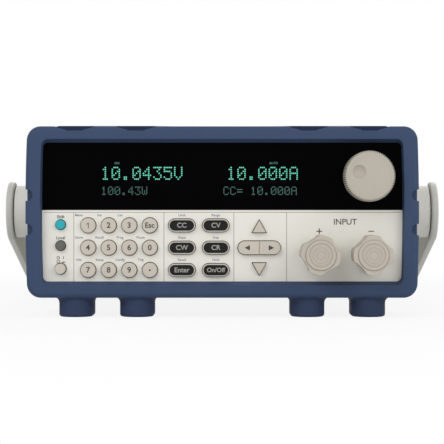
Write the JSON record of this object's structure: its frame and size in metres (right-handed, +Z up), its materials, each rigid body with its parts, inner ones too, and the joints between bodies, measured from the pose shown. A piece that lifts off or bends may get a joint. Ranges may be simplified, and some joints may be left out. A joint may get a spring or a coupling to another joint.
{
  "type": "dc electronic load",
  "caption": "Bench DC electronic load: half-rack instrument with keypad, dark display window, rotary knob, screw terminals, bumpers with stacking feet and a swinging bail handle.",
  "frame": {"origin": "middle of the load's footprint, on the surface that its feet stand on", "axes": "+Z up, +Y from the front panel to the rear panel, +X to the right seen from the front"},
  "size_m": [0.2666, 0.3866, 0.1128],
  "materials": {
    "tray_steel": "zinc-plated sheet",
    "case_paint": "fine textured powder coat",
    "panel_plastic": "fine moulded grain",
    "window_acrylic": "glossy tinted acrylic",
    "display_glass": "dark display glass",
    "bumper_rubber": "matt moulded elastomer",
    "rear_steel": "fine textured powder coat",
    "hub_plastic": "moulded grain",
    "handle_plastic": "moulded grain",
    "board_laminate": "solder mask",
    "port_metal": "nickel plate",
    "knob_plastic": "moulded, soft sheen",
    "key_plastic": "moulded, soft sheen",
    "function_plastic": "moulded, soft sheen",
    "shift_plastic": "moulded, soft sheen",
    "local_plastic": "moulded, soft sheen",
    "stud_brass": "nickel-washed brass",
    "bar_copper": "bare copper",
    "sink_aluminium": "extruded",
    "black_plastic": "moulded",
    "core_iron": "varnished laminations",
    "strip_plastic": "moulded",
    "screw_steel": "zinc plate"
  },
  "bodies": {
    "chassis": {"chassis_tray": "tray_steel", "case_cover": "case_paint", "front_panel": "panel_plastic", "display_window": "window_acrylic", "display_module": "display_glass", "front_bumper": "bumper_rubber", "rear_bumper": "bumper_rubber", "rear_panel": "rear_steel", "handle_hubs": "hub_plastic", "key_board": "board_laminate", "encoder_body": "port_metal", "terminal_insulators": "panel_plastic", "terminal_studs": "stud_brass", "bus_bars": "bar_copper", "heat_sink": "sink_aluminium", "power_board": "board_laminate", "power_transistors": "black_plastic", "fan_frame": "black_plastic", "transformer": "core_iron", "control_board": "board_laminate", "mains_inlet": "black_plastic", "data_ports": "port_metal", "sense_block": "strip_plastic", "power_switch": "black_plastic", "case_screws": "screw_steel"},
    "handle": {"handle_arm_left": "handle_plastic", "handle_arm_right": "handle_plastic", "handle_grip": "handle_plastic"},
    "adjust_knob": {"adjust_knob": "knob_plastic", "encoder_shaft": "port_metal"},
    "power_button": {"power_button": "key_plastic"},
    "fan_rotor": {"fan_rotor": "black_plastic"},
    "key_1": {"key_1": "key_plastic"},
    "key_2": {"key_2": "key_plastic"},
    "key_3": {"key_3": "key_plastic"},
    "key_escape": {"key_escape": "key_plastic"},
    "key_4": {"key_4": "key_plastic"},
    "key_5": {"key_5": "key_plastic"},
    "key_6": {"key_6": "key_plastic"},
    "key_0": {"key_0": "key_plastic"},
    "key_7": {"key_7": "key_plastic"},
    "key_8": {"key_8": "key_plastic"},
    "key_9": {"key_9": "key_plastic"},
    "key_point": {"key_point": "key_plastic"},
    "key_cc": {"key_cc": "function_plastic"},
    "key_cv": {"key_cv": "function_plastic"},
    "key_cw": {"key_cw": "function_plastic"},
    "key_cr": {"key_cr": "function_plastic"},
    "key_enter": {"key_enter": "function_plastic"},
    "key_on_off": {"key_on_off": "function_plastic"},
    "key_up": {"key_up": "key_plastic"},
    "key_down": {"key_down": "key_plastic"},
    "key_left": {"key_left": "key_plastic"},
    "key_right": {"key_right": "key_plastic"},
    "key_shift": {"key_shift": "shift_plastic"},
    "key_local": {"key_local": "local_plastic"},
    "terminal_washer_positive": {"terminal_washer_positive": "stud_brass"},
    "terminal_knob_positive": {"terminal_knob_positive": "knob_plastic"},
    "terminal_washer_negative": {"terminal_washer_negative": "stud_brass"},
    "terminal_knob_negative": {"terminal_knob_negative": "knob_plastic"}
  },
  "joints": [
    {"name": "handle_swing", "type": "hinge", "parent": "chassis", "child": "handle", "pos_m": [0, -0.0863, 0.0608], "axis": [-1, 0, 0], "range_deg": [0, 318]},
    {"name": "knob_turn", "type": "hinge", "parent": "chassis", "child": "adjust_knob", "pos_m": [0.084, -0.1713, 0.0813], "axis": [0, -1, 0], "continuous": true},
    {"name": "power_push", "type": "slide", "parent": "chassis", "child": "power_button", "axis": [0, 1, 0], "range_m": [0, 0.003], "stiffness_N_per_m": 300, "springref_m": -0.002},
    {"name": "fan_spin", "type": "hinge", "parent": "chassis", "child": "fan_rotor", "pos_m": [0.06, 0.1737, 0.0608], "axis": [0, 1, 0], "continuous": true},
    {"name": "key_1_press", "type": "slide", "parent": "chassis", "child": "key_1", "axis": [0, 1, 0], "range_m": [0, 0.0012], "stiffness_N_per_m": 300, "springref_m": -0.002},
    {"name": "key_2_press", "type": "slide", "parent": "chassis", "child": "key_2", "axis": [0, 1, 0], "range_m": [0, 0.0012], "stiffness_N_per_m": 300, "springref_m": -0.002},
    {"name": "key_3_press", "type": "slide", "parent": "chassis", "child": "key_3", "axis": [0, 1, 0], "range_m": [0, 0.0012], "stiffness_N_per_m": 300, "springref_m": -0.002},
    {"name": "key_escape_press", "type": "slide", "parent": "chassis", "child": "key_escape", "axis": [0, 1, 0], "range_m": [0, 0.0012], "stiffness_N_per_m": 300, "springref_m": -0.002},
    {"name": "key_4_press", "type": "slide", "parent": "chassis", "child": "key_4", "axis": [0, 1, 0], "range_m": [0, 0.0012], "stiffness_N_per_m": 300, "springref_m": -0.002},
    {"name": "key_5_press", "type": "slide", "parent": "chassis", "child": "key_5", "axis": [0, 1, 0], "range_m": [0, 0.0012], "stiffness_N_per_m": 300, "springref_m": -0.002},
    {"name": "key_6_press", "type": "slide", "parent": "chassis", "child": "key_6", "axis": [0, 1, 0], "range_m": [0, 0.0012], "stiffness_N_per_m": 300, "springref_m": -0.002},
    {"name": "key_0_press", "type": "slide", "parent": "chassis", "child": "key_0", "axis": [0, 1, 0], "range_m": [0, 0.0012], "stiffness_N_per_m": 300, "springref_m": -0.002},
    {"name": "key_7_press", "type": "slide", "parent": "chassis", "child": "key_7", "axis": [0, 1, 0], "range_m": [0, 0.0012], "stiffness_N_per_m": 300, "springref_m": -0.002},
    {"name": "key_8_press", "type": "slide", "parent": "chassis", "child": "key_8", "axis": [0, 1, 0], "range_m": [0, 0.0012], "stiffness_N_per_m": 300, "springref_m": -0.002},
    {"name": "key_9_press", "type": "slide", "parent": "chassis", "child": "key_9", "axis": [0, 1, 0], "range_m": [0, 0.0012], "stiffness_N_per_m": 300, "springref_m": -0.002},
    {"name": "key_point_press", "type": "slide", "parent": "chassis", "child": "key_point", "axis": [0, 1, 0], "range_m": [0, 0.0012], "stiffness_N_per_m": 300, "springref_m": -0.002},
    {"name": "key_cc_press", "type": "slide", "parent": "chassis", "child": "key_cc", "axis": [0, 1, 0], "range_m": [0, 0.0012], "stiffness_N_per_m": 300, "springref_m": -0.002},
    {"name": "key_cv_press", "type": "slide", "parent": "chassis", "child": "key_cv", "axis": [0, 1, 0], "range_m": [0, 0.0012], "stiffness_N_per_m": 300, "springref_m": -0.002},
    {"name": "key_cw_press", "type": "slide", "parent": "chassis", "child": "key_cw", "axis": [0, 1, 0], "range_m": [0, 0.0012], "stiffness_N_per_m": 300, "springref_m": -0.002},
    {"name": "key_cr_press", "type": "slide", "parent": "chassis", "child": "key_cr", "axis": [0, 1, 0], "range_m": [0, 0.0012], "stiffness_N_per_m": 300, "springref_m": -0.002},
    {"name": "key_enter_press", "type": "slide", "parent": "chassis", "child": "key_enter", "axis": [0, 1, 0], "range_m": [0, 0.0012], "stiffness_N_per_m": 300, "springref_m": -0.002},
    {"name": "key_on_off_press", "type": "slide", "parent": "chassis", "child": "key_on_off", "axis": [0, 1, 0], "range_m": [0, 0.0012], "stiffness_N_per_m": 300, "springref_m": -0.002},
    {"name": "key_up_press", "type": "slide", "parent": "chassis", "child": "key_up", "axis": [0, 1, 0], "range_m": [0, 0.0012], "stiffness_N_per_m": 300, "springref_m": -0.002},
    {"name": "key_down_press", "type": "slide", "parent": "chassis", "child": "key_down", "axis": [0, 1, 0], "range_m": [0, 0.0012], "stiffness_N_per_m": 300, "springref_m": -0.002},
    {"name": "key_left_press", "type": "slide", "parent": "chassis", "child": "key_left", "axis": [0, 1, 0], "range_m": [0, 0.0012], "stiffness_N_per_m": 300, "springref_m": -0.002},
    {"name": "key_right_press", "type": "slide", "parent": "chassis", "child": "key_right", "axis": [0, 1, 0], "range_m": [0, 0.0012], "stiffness_N_per_m": 300, "springref_m": -0.002},
    {"name": "key_shift_press", "type": "slide", "parent": "chassis", "child": "key_shift", "axis": [0, 1, 0], "range_m": [0, 0.0012], "stiffness_N_per_m": 300, "springref_m": -0.002},
    {"name": "key_local_press", "type": "slide", "parent": "chassis", "child": "key_local", "axis": [0, 1, 0], "range_m": [0, 0.0012], "stiffness_N_per_m": 300, "springref_m": -0.002},
    {"name": "washer_positive_slide", "type": "slide", "parent": "chassis", "child": "terminal_washer_positive", "axis": [0, -1, 0], "range_m": [0, 0.005]},
    {"name": "terminal_positive_turn", "type": "hinge", "parent": "terminal_washer_positive", "child": "terminal_knob_positive", "pos_m": [0.0556, -0.1713, 0.0365], "axis": [0, -1, 0], "range_deg": [0, 1440]},
    {"name": "washer_negative_slide", "type": "slide", "parent": "chassis", "child": "terminal_washer_negative", "axis": [0, -1, 0], "range_m": [0, 0.005]},
    {"name": "terminal_negative_turn", "type": "hinge", "parent": "terminal_washer_negative", "child": "terminal_knob_negative", "pos_m": [0.0853, -0.1713, 0.0365], "axis": [0, -1, 0], "range_deg": [0, 1440]}
  ],
  "couplings": [
    {"joint": "terminal_positive_turn", "follows": "washer_positive_slide", "rad_per_m": 5026.5},
    {"joint": "terminal_negative_turn", "follows": "washer_negative_slide", "rad_per_m": 5026.5}
  ]
}
